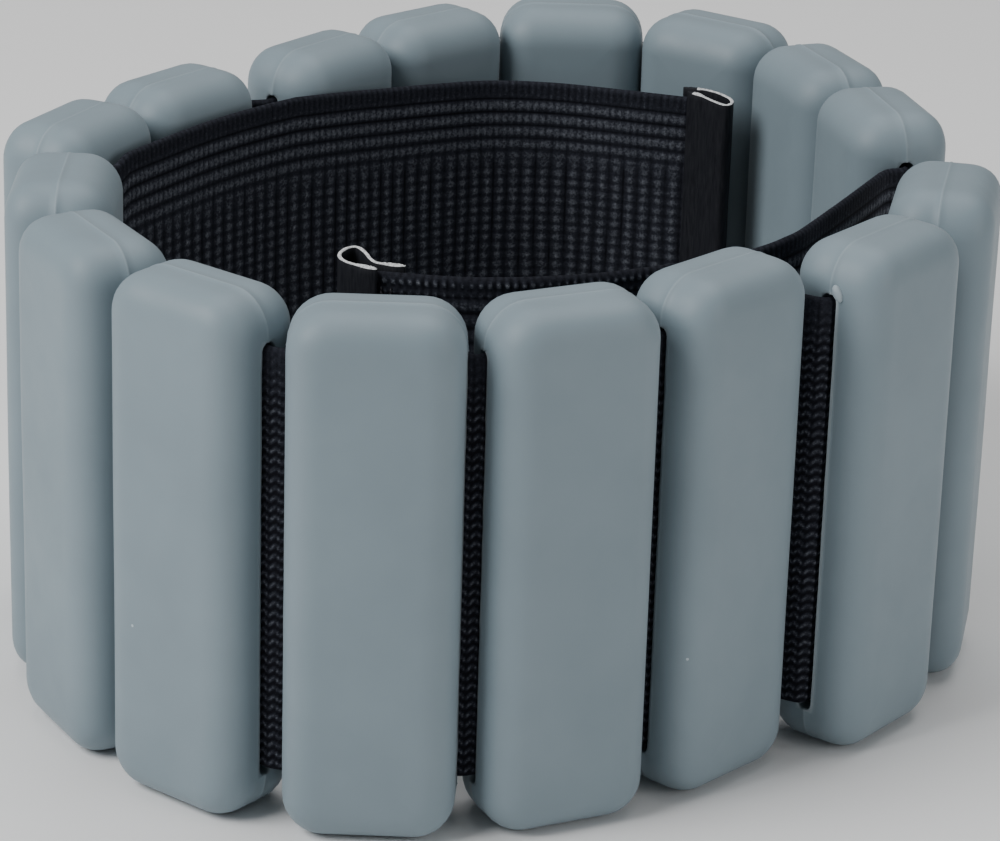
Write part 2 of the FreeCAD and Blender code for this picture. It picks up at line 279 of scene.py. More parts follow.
def silicone():
    """Matt blue-grey silicone: mottled, finely grained, paler on its moulding line, dusty."""
    made, add, link = node_tree("jacket_silicone", (0.212, 0.275, 0.311), 0.62,
                                Sheen_Weight=0.09, Sheen_Roughness=0.45,
                                Specular_IOR_Level=0.50)
    where = place(add)
    mottle = ramp(add, noise_texture(add, where, 70, 3), [(0.3, (0.202, 0.263, 0.299)),
                                                          (0.7, (0.223, 0.288, 0.326))])
    wear = add("ShaderNodeAttribute", attribute_name="wear").outputs["Fac"]
    colour = mixed(add, wear, mottle, (0.60, 0.68, 0.72, 1))
    specks = add("ShaderNodeTexVoronoi", [("Vector", where), ("Scale", 165.0)])
    chance = add("ShaderNodeSeparateColor", [(0, specks.outputs["Color"])]).outputs[0]
    near = add("ShaderNodeMath", [(0, specks.outputs["Distance"]), (1, 0.030)],
               operation="LESS_THAN").outputs[0]
    rare = add("ShaderNodeMath", [(0, chance), (1, 0.90)], operation="GREATER_THAN").outputs[0]
    dust = add("ShaderNodeMath", [(0, near), (1, rare)], operation="MULTIPLY").outputs[0]
    colour = mixed(add, dust, colour, (0.48, 0.55, 0.59, 1))
    link(colour, "Base Color")
    link(ramp(add, noise_texture(add, where, 260, 3), [(0.3, 0.50), (0.7, 0.60)]), "Roughness")
    grain = noise_texture(add, where, 5200, 2, 0.6)
    wave = noise_texture(add, where, 120, 1)
    link(bump(add, grain, 0.10, 0.00006, bump(add, wave, 0.12, 0.0004)), "Normal")
    return made


def steel():
    """Brushed steel, for the cores inside."""
    made, add, link = node_tree("core_steel", (0.56, 0.56, 0.57), 0.35, Metallic=1.0)
    brushing = noise_texture(add, place(add, (1, 1, 0.03)), 4000, 3)
    link(ramp(add, brushing, [(0.3, 0.26), (0.7, 0.42)]), "Roughness")
    link(bump(add, brushing, 0.25, 0.00003), "Normal")
    return made


def webbing():
    """Black elastic webbing: its relief is in the mesh, its yarns and fibres are here. Its colour follows
    the relief: paler on the crests as painted highlight, darker in the grooves as painted shade, and palest
    on the rear tail's pale stitches.
    """
    made, add, link = node_tree("strap_webbing", (0.025, 0.025, 0.030), 0.8,
                                Specular_IOR_Level=0.09)
    crest_highlight_and_stitches = add("ShaderNodeAttribute", attribute_name="crest_highlight_and_stitches").outputs["Fac"]
    where = place(add)
    yarn = noise_texture(add, where, 2600, 3, 0.7)
    level = add("ShaderNodeMath", [(0, crest_highlight_and_stitches), (1, yarn)], operation="MULTIPLY").outputs[0]
    # The relief's height times the yarn noise runs from near black in the grooves (painted shade) to pale
    # grey on the crests (painted highlight). The palest stop is reached on the rear tail's pale stitches.
    link(ramp(add, level, [(0.08, (0.0065, 0.0070, 0.0105)), (0.30, (0.0250, 0.0275, 0.0375)),
                           (0.60, (0.130, 0.140, 0.165)), (1.0, (0.68, 0.69, 0.71))]),
         "Base Color")
    fibres = noise_texture(add, place(add, (1, 1, 3)), 3600, 2, 0.7)
    link(ramp(add, fibres, [(0.3, 0.70), (0.7, 0.92)]), "Roughness")
    link(bump(add, fibres, 0.5, 0.00012), "Normal")
    return made


def tape():
    """Smooth black tape with a fine upright grain."""
    made, add, link = node_tree("tab_tape_black", (0.016, 0.016, 0.019), 0.8,
                                Specular_IOR_Level=0.09)
    grain = noise_texture(add, place(add, (1, 1, 0.12)), 3800, 2)
    link(ramp(add, grain, [(0.3, (0.0108, 0.0115, 0.0150)), (0.75, (0.0225, 0.0238, 0.0288))]),
         "Base Color")
    link(ramp(add, grain, [(0.3, 0.52), (0.7, 0.68)]), "Roughness")
    link(bump(add, grain, 0.3, 0.00006), "Normal")
    return made


def cut_edge():
    """The tape's pale cut edge, slightly frayed."""
    made, add, link = node_tree("tab_tape_cut_edge", (0.60, 0.61, 0.63), 0.85)
    fray = noise_texture(add, place(add), 3000, 3, 0.7)
    link(ramp(add, fray, [(0.32, (0.29, 0.30, 0.315)), (0.55, (0.76, 0.77, 0.78)),
                          (0.8, (0.86, 0.87, 0.88))]), "Base Color")
    link(bump(add, fray, 0.8, 0.0002), "Normal")
    return made


def thread():
    """Black sewing thread with a twist."""
    made, add, link = node_tree("stitch_thread", (0.035, 0.035, 0.039), 0.85,
                                Specular_IOR_Level=0.09)
    twist = add("ShaderNodeTexWave", [("Vector", place(add)), ("Scale", 900.0)],
                bands_direction="DIAGONAL").outputs["Fac"]
    link(ramp(add, twist, [(0.2, (0.0144, 0.0144, 0.0180)), (0.8, (0.054, 0.054, 0.061))]),
         "Base Color")
    link(bump(add, twist, 0.6, 0.00008), "Normal")
    return made


def hook_tape():
    """Black nylon hook tape."""
    made, add, link = node_tree("hook_nylon", (0.020, 0.020, 0.022), 0.8,
                                Specular_IOR_Level=0.11)
    weave = noise_texture(add, place(add), 3000, 2)
    link(ramp(add, weave, [(0.3, (0.0108, 0.0108, 0.0126)), (0.7, (0.036, 0.036, 0.040))]),
         "Base Color")
    link(ramp(add, weave, [(0.3, 0.70), (0.7, 0.85)]), "Roughness")
    return made


def paper():
    """The pale floor."""
    made, add, link = node_tree("floor_pale", (0.92, 0.92, 0.92), 0.7)
    link(ramp(add, noise_texture(add, place(add), 9, 2), [(0.3, 0.915), (0.7, 0.930)]),
         "Base Color")
    return made


SILICONE, STEEL, WEBBING, TAPE = silicone(), steel(), webbing(), tape()
CUT_EDGE, THREAD, HOOKS, FLOOR = cut_edge(), thread(), hook_tape(), paper()


# ---------------------------------------------------------------- making meshes

def new_object(name, mesh, materials):
    for material in materials:
        mesh.materials.append(material)
    made = bpy.data.objects.new(name, mesh)
    bpy.context.scene.collection.objects.link(made)
    return made


def mesh_from(name, points, faces, materials, attribute=None, values=None):
    """An object from points in millimetres and faces, with one value a point."""
    mesh = bpy.data.meshes.new(name)
    mesh.from_pydata((np.asarray(points) * MM).tolist(), [], faces)
    if attribute:
        layer = mesh.attributes.new(attribute, "FLOAT", "POINT")
        layer.data.foreach_set("value", np.asarray(values, np.float32))
    mesh.polygons.foreach_set("use_smooth", [True] * len(mesh.polygons))
    mesh.update()
    return new_object(name, mesh, materials)


def finish_piece(made, replaced, body=None):
    """Hide the nodes a piece stands for, and attach it to the body it rides on, if one is given."""
    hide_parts(*replaced)
    if body:
        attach(made, body)
    return made


# ---------------------------------------------------------------- silicone jackets

SLOT_EDGE, LIP_FOOT = SLOT_HALF_WIDE, 1.4
SEAM_ROWS = (0.08, 0.20)
ARC_HEIGHTS = (26.6, 27.05, 27.35)
SLOT_CORNER = SLOT_HALF_TALL - SLOT_ROUND
FULLNESS = 2.45


def jacket_outline():
    """Anchor, normal and side (1, -1 or 0) of each point round a jacket's outline."""
    half_x, half_z = BAR_WIDTH / 2 - BAR_CORNER, BAR_HEIGHT / 2 - BAR_CORNER
    rim = [*ARC_HEIGHTS, SLOT_HALF_TALL, 27.8, half_z]
    up = [-z for z in reversed(rim)] + list(np.linspace(-26.6, 26.6, 24)[1:-1]) + rim
    along = np.linspace(-half_x, half_x, 8)[1:-1]
    outline = [((half_x, z), (1, 0), 1) for z in up]
    corners = np.linspace(0, math.pi / 2, 9)[1:-1]
    outline += [((half_x, half_z), (math.cos(a), math.sin(a)), 0) for a in corners]
    outline += [((x, half_z), (0, 1), 0) for x in (half_x, *reversed(along), -half_x)]
    outline += [((-half_x, half_z), (-math.sin(a), math.cos(a)), 0) for a in corners]
    outline += [((-half_x, z), (-1, 0), -1) for z in reversed(up)]
    outline += [((-half_x, -half_z), (-math.cos(a), -math.sin(a)), 0) for a in corners]
    outline += [((x, -half_z), (0, -1), 0) for x in (-half_x, *along, half_x)]
    outline += [((half_x, -half_z), (math.sin(a), -math.cos(a)), 0) for a in corners]
    return outline


def jacket_rows():
    """Rows from the outward face to the inward one: depth, inset, rise and anchor shrink."""
    crown, flat = 0.10, BAR_DEPTH / 2 - BAR_EDGE
    bulge = BAR_DEPTH / 2 - flat - crown
    half_x = BAR_WIDTH / 2 - BAR_CORNER
    rows = []
    for shrink in (half_x, 4.0, 2.6, 1.4, 0.6):
        share = shrink / half_x
        rise = crown * share * (2 - share)
        rows.append((flat + bulge + rise, BAR_EDGE, 0.0, shrink))
    for angle in np.radians((90, 82, 73, 64, 55, 46, 37, 28, 19, 10)):
        rows.append((flat + bulge * math.sin(angle), BAR_EDGE * (1 - math.cos(angle)), 0.0, 0.0))
    rows += [(depth, 0.0, 0.0, 0.0) for depth in (flat, 1.65, LIP_FOOT, SLOT_EDGE, SEAM_ROWS[1])]
    rows.append((SEAM_ROWS[0], 0.0, 0.10, 0.0))
    outward = []
    for y, inset, rise, shrink in rows:
        if 0 < inset and not shrink:
            away = math.atan2(y - flat, BAR_EDGE - inset)
            full = (math.cos(away) ** FULLNESS + math.sin(away) ** FULLNESS) ** (-1 / FULLNESS)
            inset = BAR_EDGE - BAR_EDGE * math.cos(away) * full
            y = flat + bulge * math.sin(away) * full
        outward.append((-y, inset, rise, shrink))
    return outward + [tuple(row) for row in reversed(rows)]


OUTLINE, ROWS = jacket_outline(), jacket_rows()


def slot_edge_at(z):
    """Half the slot's width at a height, with its ends rounded."""
    over = abs(z) - SLOT_CORNER
    if over <= 0:
        return SLOT_HALF_WIDE
    reach = min(over / SLOT_ROUND, 0.96)
    return SLOT_HALF_WIDE - SLOT_ROUND + SLOT_ROUND * math.sqrt(1 - reach * reach)


def jacket(band, number):
    """One bar's jacket: a soft-edged block with a moulding line and a lipped slot through it."""
    at = BAR_AT[band, number]
    middle_z = BAR_HEIGHT / 2
    seed = Vector((number * 17.3, 40.0 * BANDS.index(band), 5.1))
    torn_side = -1 if (band, number) == ("front", 7) else 0
    grid, points, wear = {}, [], []

    def add_point(x, y, z, value):
        points.append((x, y, z))
        wear.append(value)
        return len(points) - 1

    inside = {}
    for r, (y, inset, rise, shrink) in enumerate(ROWS):
        in_slot = abs(y) <= SLOT_EDGE
        for c, ((ax, az), (nx, nz), side) in enumerate(OUTLINE):
            open_here = side and in_slot and abs(az) <= SLOT_HALF_TALL
            if open_here and abs(y) < SLOT_EDGE and abs(az) < SLOT_HALF_TALL:
                continue
            if shrink:
                limit_x = BAR_WIDTH / 2 - BAR_CORNER - shrink
                limit_z = BAR_HEIGHT / 2 - BAR_CORNER - shrink
                ax, az = (max(-limit_x, min(limit_x, ax)), max(-limit_z, min(limit_z, az)))
            reach = BAR_CORNER - inset
            if shrink:
                reach *= 1 - shrink / (BAR_WIDTH / 2 - BAR_CORNER)
            x, z = ax + nx * reach, az + nz * reach
            py, value = y, 0.0
            if rise:
                height = rise * (0.75 + 0.5 * noise.noise(Vector((x, z, 0)) * 0.12 + seed))
                x, z, value = x + nx * height, z + nz * height, 0.10
            if open_here:
                torn = side == torn_side
                py = math.copysign(slot_edge_at(az), y) if abs(y) == SLOT_EDGE else y
                rough = noise.noise(Vector((az * 0.35, y, side)) + seed)
                lip = 0.10 + 0.08 * rough
                value = 0.20 + 0.15 * rough
                if torn and y < 0:
                    lip = 0.24 + 0.10 * rough
                    value = 0.85
                inside[side, r, c] = add_point(x - nx * 0.45, py, z, 0.0)
                x += nx * lip
            grid[r, c] = add_point(x, py, z, value)
    faces = []
    count = len(OUTLINE)
    for r in range(len(ROWS) - 1):
        for c in range(count):
            quad = [(r, c), (r, (c + 1) % count), (r + 1, (c + 1) % count), (r + 1, c)]
            if all(corner in grid for corner in quad):
                (_, az), _, side = OUTLINE[c]
                (_, bz), _, side_b = OUTLINE[(c + 1) % count]
                within = abs(ROWS[r][0]) <= SLOT_EDGE and abs(ROWS[r + 1][0]) <= SLOT_EDGE
                if within and side and side == side_b and max(abs(az), abs(bz)) <= SLOT_HALF_TALL:
                    continue
                faces.append([grid[corner] for corner in quad])
    slot_loop = slot_border()
    for side in (1, -1):
        loop = slot_loop[side]
        for one, two in zip(loop, loop[1:] + loop[:1]):
            faces.append([grid[one], grid[two], inside[(side, *two)], inside[(side, *one)]])
    right, left = slot_loop[1], slot_loop[-1]
    for k in range(len(right)):
        n = (k + 1) % len(right)
        faces.append([inside[(1, *right[k])], inside[(1, *right[n])],
                      inside[(-1, *left[n])], inside[(-1, *left[k])]])
    points = np.array(points)
    lift = np.array([noise.noise(Vector(p) * 0.045 + seed) for p in points]) * 0.09
    points[:, 1] += lift * np.abs(points[:, 1]) / (BAR_DEPTH / 2)
    points[:, 2] = np.maximum(points[:, 2], -middle_z)
    mesh = bpy.data.meshes.new(f"{band}_jacket_{number}")
    mesh.from_pydata(points.tolist(), [], faces)
    mesh.attributes.new("wear", "FLOAT", "POINT").data.foreach_set("value", wear)
    tidy = bmesh.new()
    tidy.from_mesh(mesh)
    if torn_side:
        add_nub(tidy, torn_side)
    bmesh.ops.remove_doubles(tidy, verts=tidy.verts, dist=0.002)
    bmesh.ops.dissolve_degenerate(tidy, edges=tidy.edges, dist=0.001)
    bmesh.ops.recalc_face_normals(tidy, faces=tidy.faces)
    tidy.to_mesh(mesh)
    tidy.free()
    mesh.transform(Matrix.Scale(MM, 4) @ Matrix.Translation((0, 0, middle_z)) @ flat_only(at))
    mesh.polygons.foreach_set("use_smooth", [True] * len(mesh.polygons))
    made = new_object(f"silicone_{band}_{number}", mesh, [SILICONE])
    return finish_piece(made, [f"{band}_jacket_{number}"], f"{band}_bar_{number}")


def add_nub(tidy, side):
    """A ragged nub of flash where the moulding line meets the top of a slot."""
    place_at = Matrix.Translation((side * (BAR_WIDTH / 2 + 0.05), -1.1, SLOT_HALF_TALL + 0.25))
    lean = Matrix.Rotation(math.radians(-32), 4, "X")
    shape = place_at @ lean @ Matrix.Diagonal((0.55, 0.6, 1.1, 1))
    made = bmesh.ops.create_icosphere(tidy, subdivisions=3, radius=1.0, matrix=shape)
    layer = tidy.verts.layers.float["wear"]
    for vert in made["verts"]:
        vert.co += vert.co.normalized() * 0.16 * noise.noise(vert.co * 1.9)
        vert[layer] = 0.35


def flat_only(matrix):
    """A bar's matrix with its height left out."""
    flat = matrix.copy()
    flat.translation.z = 0
    return flat


def slot_border():
    """Grid places round each slot mouth, in the same order on both sides."""
    low_row = next(r for r, row in enumerate(ROWS) if row[0] == -SLOT_EDGE)
    high_row = next(r for r, row in enumerate(ROWS) if row[0] == SLOT_EDGE)
    borders = {}
    for side in (1, -1):
        columns = [c for c, ((_, az), _, s) in enumerate(OUTLINE)
                   if s == side and abs(az) <= SLOT_HALF_TALL]
        columns.sort(key=lambda c: OUTLINE[c][0][1])
        loop = [(low_row, c) for c in columns]
        loop += [(r, columns[-1]) for r in range(low_row + 1, high_row)]
        loop += [(high_row, c) for c in reversed(columns)]
        loop += [(r, columns[0]) for r in range(high_row - 1, low_row, -1)]
        borders[side] = loop
    return borders


# ---------------------------------------------------------------- webbing

def grid_weave(s, z, top, bottom):
    """Relief of a tail's webbing, from 0 to 1: columns of rungs under lengthwise ribs."""
    wander = 0.10 * np.sin(s * 0.31 + 2.0 * np.sin(z * 0.11))
    column = s / 2.1 + wander
    groove = np.abs(np.sin(math.pi * column)) ** 0.55
    yarns = 0.80 + 0.20 * np.abs(np.cos(2 * math.pi * column))
    rung = np.abs(np.sin(math.pi * z / 1.38)) ** 0.8
    rib = np.abs(np.sin(math.pi * z / 1.9)) ** 0.6
    down = top - z
    ribbed = np.clip((13 - down) / 5, 0, 1)
    cells = groove * yarns * (0.42 + 0.58 * rung)
    lines = rib * (0.62 + 0.38 * np.abs(np.sin(2 * math.pi * column)))
    relief = cells * (1 - ribbed) + lines * ribbed
    selvedge = np.clip(2.6 - np.minimum(down, z - bottom), 0, 1)
    upright = 0.20 + 0.34 * np.abs(np.sin(math.pi * s / 0.95))
    return relief * (1 - selvedge) + upright * selvedge


def stitched_weave(s, z, top, bottom):
    """The same webbing with rows of small pale stitches below its top edge."""
    dash = np.clip(1.7 * np.cos(2 * math.pi * s / 1.06) + 0.1, 0, 1)
    inner_side = np.clip((s - 56) / 6, 0, 1)
    relief = grid_weave(s, z, top, bottom) * (1 - 0.25 * inner_side)
    for down, strength in ((0.9, 0.80), (2.3, 0.42), (3.7, 0.30)):
        row = np.clip(1.3 - np.abs(z - (top - down)) / 0.35, 0, 1)
        relief = relief + strength * dash * row * inner_side
    return relief


def knit(s, z, top, bottom):
    """Relief of the strap between bars, from 0 to 1: columns of chevron loops."""
    column = s / 1.3
    across = np.abs(column - np.floor(column) - 0.5) * 2
    loops = 0.5 + 0.5 * np.cos(2 * math.pi * (z / 1.2 - 0.55 * across))
    groove = np.sin(math.pi * np.clip(across, 0, 1)) ** 0.6
    plain = np.clip(1 - (top - z) / 7.0, 0, 1)
    relief = loops * (0.22 + 0.74 * groove)
    return relief * (1 - plain) + plain * (0.20 + 0.32 * groove)


def ribbon(name, line, heights, relief, depth, lift=None):
    """A strip of webbing on edge along a line in plan, with relief on both faces.

    heights are rows up the strip, from 0 at its bottom edge to 1 at its top.
    """
    normals, far = sideways(line), distances(line)
    bottom = (BAR_HEIGHT - STRAP_TALL) / 2
    top = bottom + STRAP_TALL
    s, share = np.meshgrid(far, heights, indexing="ij")
    z = bottom + share * STRAP_TALL
    values_up = relief(s, z, top, bottom)
    raised = np.clip(values_up, 0, 1.15)
    edge = np.minimum(z - bottom, top - z)
    rounding = np.sqrt(np.clip(1 - (1 - np.clip(edge / 0.6, 0, 1)) ** 2, 0.02, 1))
    half = (STRAP_THICK / 2 - depth * (1 - raised)) * rounding
    if lift is not None:
        z = z + lift(s) * share
    points, values = [], []
    for side in (1, -1):
        x = line[:, None, 0] + side * normals[:, None, 0] * half
        y = line[:, None, 1] + side * normals[:, None, 1] * half
        points.append(np.stack([x, y, z], axis=2).reshape(-1, 3))
        values.append(values_up.reshape(-1))
    along, up = len(line), len(heights)
    index = np.arange(along * up).reshape(along, up)
    a, b = index[:-1, :-1].ravel(), index[1:, :-1].ravel()
    c, d = index[1:, 1:].ravel(), index[:-1, 1:].ravel()
    other = along * up
    faces = [np.stack([a, d, c, b], axis=1), np.stack([a, b, c, d], axis=1) + other]
    for column, flip in ((0, False), (up - 1, True)):
        p, q = index[:-1, column], index[1:, column]
        quad = [p, q, q + other, p + other]
        faces.append(np.stack(quad[::-1] if flip else quad, axis=1))
    for row, flip in ((0, True), (along - 1, False)):
        p, q = index[row, :-1], index[row, 1:]
        quad = [p, q, q + other, p + other]
        faces.append(np.stack(quad[::-1] if flip else quad, axis=1))
    # The relief also goes to the mesh as a colour attribute. The webbing material turns it into painted
    # highlight on the crests, painted shade in the grooves, and the rear tail's pale stitches.
    return mesh_from(name, np.concatenate(points), np.concatenate(faces).tolist(), [WEBBING],
                     "crest_highlight_and_stitches", np.concatenate(values))


def strap_line(band, number):
    """A strap's line from the middle of one bar to that of the next, and its two slot mouths."""
    here, there = BAR_AT[band, number], BAR_AT[band, number + 1]
    mouth = BAR_WIDTH / 2
    start, end = plan(here, mouth, 0), plan(there, -mouth, 0)
    reach = max(0.4 * GAPS[band][number - 1], 0.30 * np.linalg.norm(end - start))
    handle_a, handle_b = plan(here, mouth + reach, 0), plan(there, -mouth - reach, 0)
    curve = [(1 - t) ** 3 * start + 3 * t * (1 - t) ** 2 * handle_a
             + 3 * t * t * (1 - t) * handle_b + t ** 3 * end for t in np.linspace(0, 1, 24)]
    fine = evenly(np.array([plan(here, mouth - 1.5, 0), *curve, plan(there, -mouth + 1.5, 0)]),
                  0.25)
    before = [plan(here, x, 0) for x in (0, 3.0, 6.0, mouth - 2.0)]
    after = [plan(there, x, 0) for x in (-mouth + 2.0, -6.0, -3.0, 0)]
    return np.vstack([before, fine, after]), start, end


STRAP_ROWS, TAIL_ROWS = np.linspace(0, 1, 213), np.linspace(0, 1, 193)
KNIT_DEPTH, WEAVE_DEPTH = 0.20, 0.26  # the relief's depth on each face
TAIL_PITCH = 0.26
STRAP_RISE = 0.6
BEND_HALF = 3.5  # half the length of tail that bends at the peel hinge


def strap_lift(s):
    """How far a strap's top edge stands up into the tops of its slots."""
    return np.full_like(s, STRAP_RISE)


def strap_link(band, number):
    """The strap from the middle of one bar to the middle of the next, bending between them."""
    line, start, end = strap_line(band, number)
    made = ribbon(f"strap_{band}_{number}", line, STRAP_ROWS, knit, KNIT_DEPTH, strap_lift)
    nodes = [f"{band}_strap_{number}"]
    if number == BAR_COUNT - 1:
        nodes.append(f"{band}_strap_{BAR_COUNT}")
    finish_piece(made, nodes)
    height = BAR_HEIGHT / 2
    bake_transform(made, f"{band}_bar_{number}", f"{band}_bar_{number + 1}",
             start=Vector((*start, height)) * MM, end=Vector((*end, height)) * MM)


def cut_link(band, number):
    """The strap between two bars that no joint joins, in two halves that meet in the gap."""
    line, _, _ = strap_line(band, number)
    middle = len(line) // 2
    for half, points in ((0, line[:middle + 1]), (1, line[middle:])):
        name = f"strap_{band}_{number}_{'ab'[half]}"
        made = ribbon(name, points, STRAP_ROWS, knit, KNIT_DEPTH, strap_lift)
        finish_piece(made, [f"{band}_strap_{number + half}"],
                     f"{band}_bar_{number + half}")


# How far a tail's top edge stands above its rest height, at distances along the tail
TAIL_LIFT = {
    "front": ((11, 20, 54, 70, 89, 102, 115), (0, 3.1, 3.0, 1.4, 0, -0.7, -1.1)),
    "rear": ((6, 14, 48, 62, 75, 88, 103), (0, 0.8, 1.2, 0.5, 0.4, 0.8, 0.6)),
}


def tail(band):
    """A band's tail, from its bar 1 to its tip; its end bends away at the peel hinge."""
    route = tail_route(band)
    line = smooth_route(route, TAIL_PITCH)
    tip = end_frame(line)
    onwards = (line[-1] - line[-4]) / np.linalg.norm(line[-1] - line[-4])
    inside = np.arange(1, round(TAIL_IN_TAB[band] / TAIL_PITCH) + 1)[:, None] * TAIL_PITCH
    line = np.vstack([line, line[-1] + inside * onwards])

    def lift(s):
        return np.interp(s, *TAIL_LIFT[band])

    weave = stitched_weave if band == "rear" else grid_weave
    made = ribbon(f"tail_{band}", line, TAIL_ROWS, weave, WEAVE_DEPTH, lift)
    finish_piece(made, [f"{band}_tail_held", f"{band}_tail_end"])
    last_held = 2 + HELD_BARS[band]
    near, far = route[last_held], route[last_held + 1]
    hinge, way = (near + far) / 2, (far - near) / np.linalg.norm(far - near)
    start, end = hinge - way * BEND_HALF, hinge + way * BEND_HALF
    height = BAR_HEIGHT / 2
    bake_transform(made, f"{band}_bar_1", f"{band}_tail",
             start=Vector((*start, height)) * MM, end=Vector((*end, height)) * MM)
    return tip


# ---------------------------------------------------------------- the tails' ends

# The tape's path round each tail's end: +X onwards along the tail, +Y outwards, from the
# strap's outward face
TAB_PATHS = {
    "front": ((0.0, 0.27), (1.6, 0.3), (3.3, 0.1), (5.6, -1.4), (7.3, -3.6), (7.6, -5.6),
              (6.8, -6.4), (5.3, -5.3), (3.6, -3.5), (2.3, -2.2), (0.9, -1.66)),
    "rear": ((-0.3, 0.45), (1.2, -0.2), (3.3, -0.9), (4.8, -2.4), (5.3, -4.2), (4.9, -6.2),
             (3.9, -7.0), (2.6, -5.6), (1.3, -3.2), (0.2, -1.95), (-1.6, -1.75), (-3.4, -1.66)),
}
TAIL_IN_TAB = {"front": 2.4, "rear": 0.0}
TAB_RISE = {"front": 0.0, "rear": 1.3}
# How far onwards along the tail the rim of the tape turns pale
PALE_FROM = {"front": 1.9, "rear": -9.0}
HEM_LONG = 3.0
STITCH_ROWS = {"front": (1.5, 2.6), "rear": (-0.9, -2.1)}
TAPE_THICK = 0.46
TAB_BELOW, RIM = 0.2, 0.12  # how far the tape hangs below the webbing, and its rim's height


def end_frame(line):
    """The frame at a tail's end, on its outward face."""
    onwards = line[-1] - line[-4]
    angle = math.atan2(onwards[1], onwards[0])
    return (Matrix.Translation((*line[-1], 0)) @ Matrix.Rotation(angle, 4, "Z")
            @ Matrix.Translation((0, STRAP_THICK / 2, 0)))


def end_tab(band, at):
    """Smooth tape folded round the tail's end into a loop, with pale cut edges."""
    path = smooth_line(TAB_PATHS[band], 0.22)
    normals, far = sideways(path), distances(path)
    bottom = (BAR_HEIGHT - STRAP_TALL) / 2 - TAB_BELOW
    top = (BAR_HEIGHT + STRAP_TALL) / 2 + TAB_RISE[band]
    heights = np.concatenate([[bottom, bottom + RIM], np.linspace(bottom + 1, top - 1, 40),
                              [top - RIM, top]])
    hem = np.clip(np.minimum(far, far[-1] - far) / HEM_LONG, 0, 1)
    swell = 1 + 1.3 * np.sin(math.pi * hem) - 0.45 * (1 - hem) ** 6
    pale = path[:, 0] > PALE_FROM[band]
    points, faces, kinds = [], [], []
    for side in (1, -1):
        for i, (centre, normal) in enumerate(zip(path, normals)):
            for j, z in enumerate(heights):
                at_rim = j in (0, len(heights) - 1)
                half = (TAPE_THICK / 2 - (0.08 if at_rim else 0)) * (swell[i] if z > 30 else 1)
                ripple = 0.05 * noise.noise(Vector((i * 0.15, z * 0.12, side * 3.0)))
                x, y = centre + normal * (side * half + ripple)
                fray = 0.10 * noise.noise(Vector((i * 0.9, j, side))) if at_rim else 0
                points.append(at @ Vector((x, y, z + fray)))
    along, up = len(path), len(heights)
    other = along * up
    for i in range(along - 1):
        for j in range(up - 1):
            a, b = i * up + j, (i + 1) * up + j
            rim = j in (0, up - 2)
            faces += [(a, a + 1, b + 1, b), (a + other, b + other, b + 1 + other, a + 1 + other)]
            kinds += [int(rim and pale[i])] * 2
        for j, flip in ((0, False), (up - 1, True)):
            a, b = i * up + j, (i + 1) * up + j
            quad = (a, b, b + other, a + other)
            faces.append(quad[::-1] if flip else quad)
            kinds.append(int(pale[i]))
    for i, flip in ((0, True), (along - 1, False)):
        for j in range(up - 1):
            a = i * up + j
            quad = (a, a + 1, a + 1 + other, a + other)
            faces.append(quad[::-1] if flip else quad)
            kinds.append(int(pale[i] and j == up - 2))
    made = mesh_from(f"end_tab_{band}", points, faces, [TAPE, CUT_EDGE])
    made.data.polygons.foreach_set("material_index", kinds)
    return finish_piece(made, [f"{band}_end_tab"], f"{band}_tail")


def peg(ends, radius, sides=8, rings=7):
    """Points and faces of a peg with rounded tips between two ends."""
    start, end = (Vector(p) for p in ends)
    axis = (end - start).normalized()
    across = axis.orthogonal().normalized()
    over = axis.cross(across)
    points, faces = [start], []
    for ring in range(1, rings):
        t = ring / rings
        wide = radius * math.sin(math.pi * t) ** 0.45
        for k in range(sides):
            a = 2 * math.pi * k / sides
            points.append(start.lerp(end, t) + across * wide * math.cos(a)
                          + over * wide * math.sin(a))
    points.append(end)
    for k in range(sides):
        n = (k + 1) % sides
        faces.append((0, 1 + n, 1 + k))
        for ring in range(rings - 2):
            a = 1 + ring * sides
            faces.append((a + k, a + n, a + sides + n, a + sides + k))
        a = 1 + (rings - 2) * sides
        faces.append((a + k, a + n, len(points) - 1))
    return points, faces


def joined(parts):
    """Many small meshes as one list of points and one of faces."""
    points, faces = [], []
    for some_points, some_faces in parts:
        base = len(points)
        points += some_points
        faces += [tuple(base + index for index in face) for face in some_faces]
    return points, faces


STITCHES, STITCH_FROM, STITCH_PITCH, STITCH_LONG, THREAD_RADIUS = 14, 9.0, 3.6, 2.7, 0.17


def stitching(band, at):
    """Two upright rows of stitches through the tape and the tail's end."""
    parts = []
    for x in STITCH_ROWS[band]:
        for index in range(STITCHES):
            low = STITCH_FROM + index * STITCH_PITCH
            for y in (-STRAP_THICK - 1.15 * TAPE_THICK, 0.02):
                ends = (at @ Vector((x, y, low)), at @ Vector((x + 0.12, y, low + STITCH_LONG)))
                parts.append(peg(ends, THREAD_RADIUS))
    points, faces = joined(parts)
    made = mesh_from(f"stitches_{band}", points, faces, [THREAD])
    return finish_piece(made, [f"{band}_tab_stitching"], f"{band}_tail")


HOOK_COLUMNS, HOOK_ROWS, HOOK_MARGIN = 7, 34, 0.9


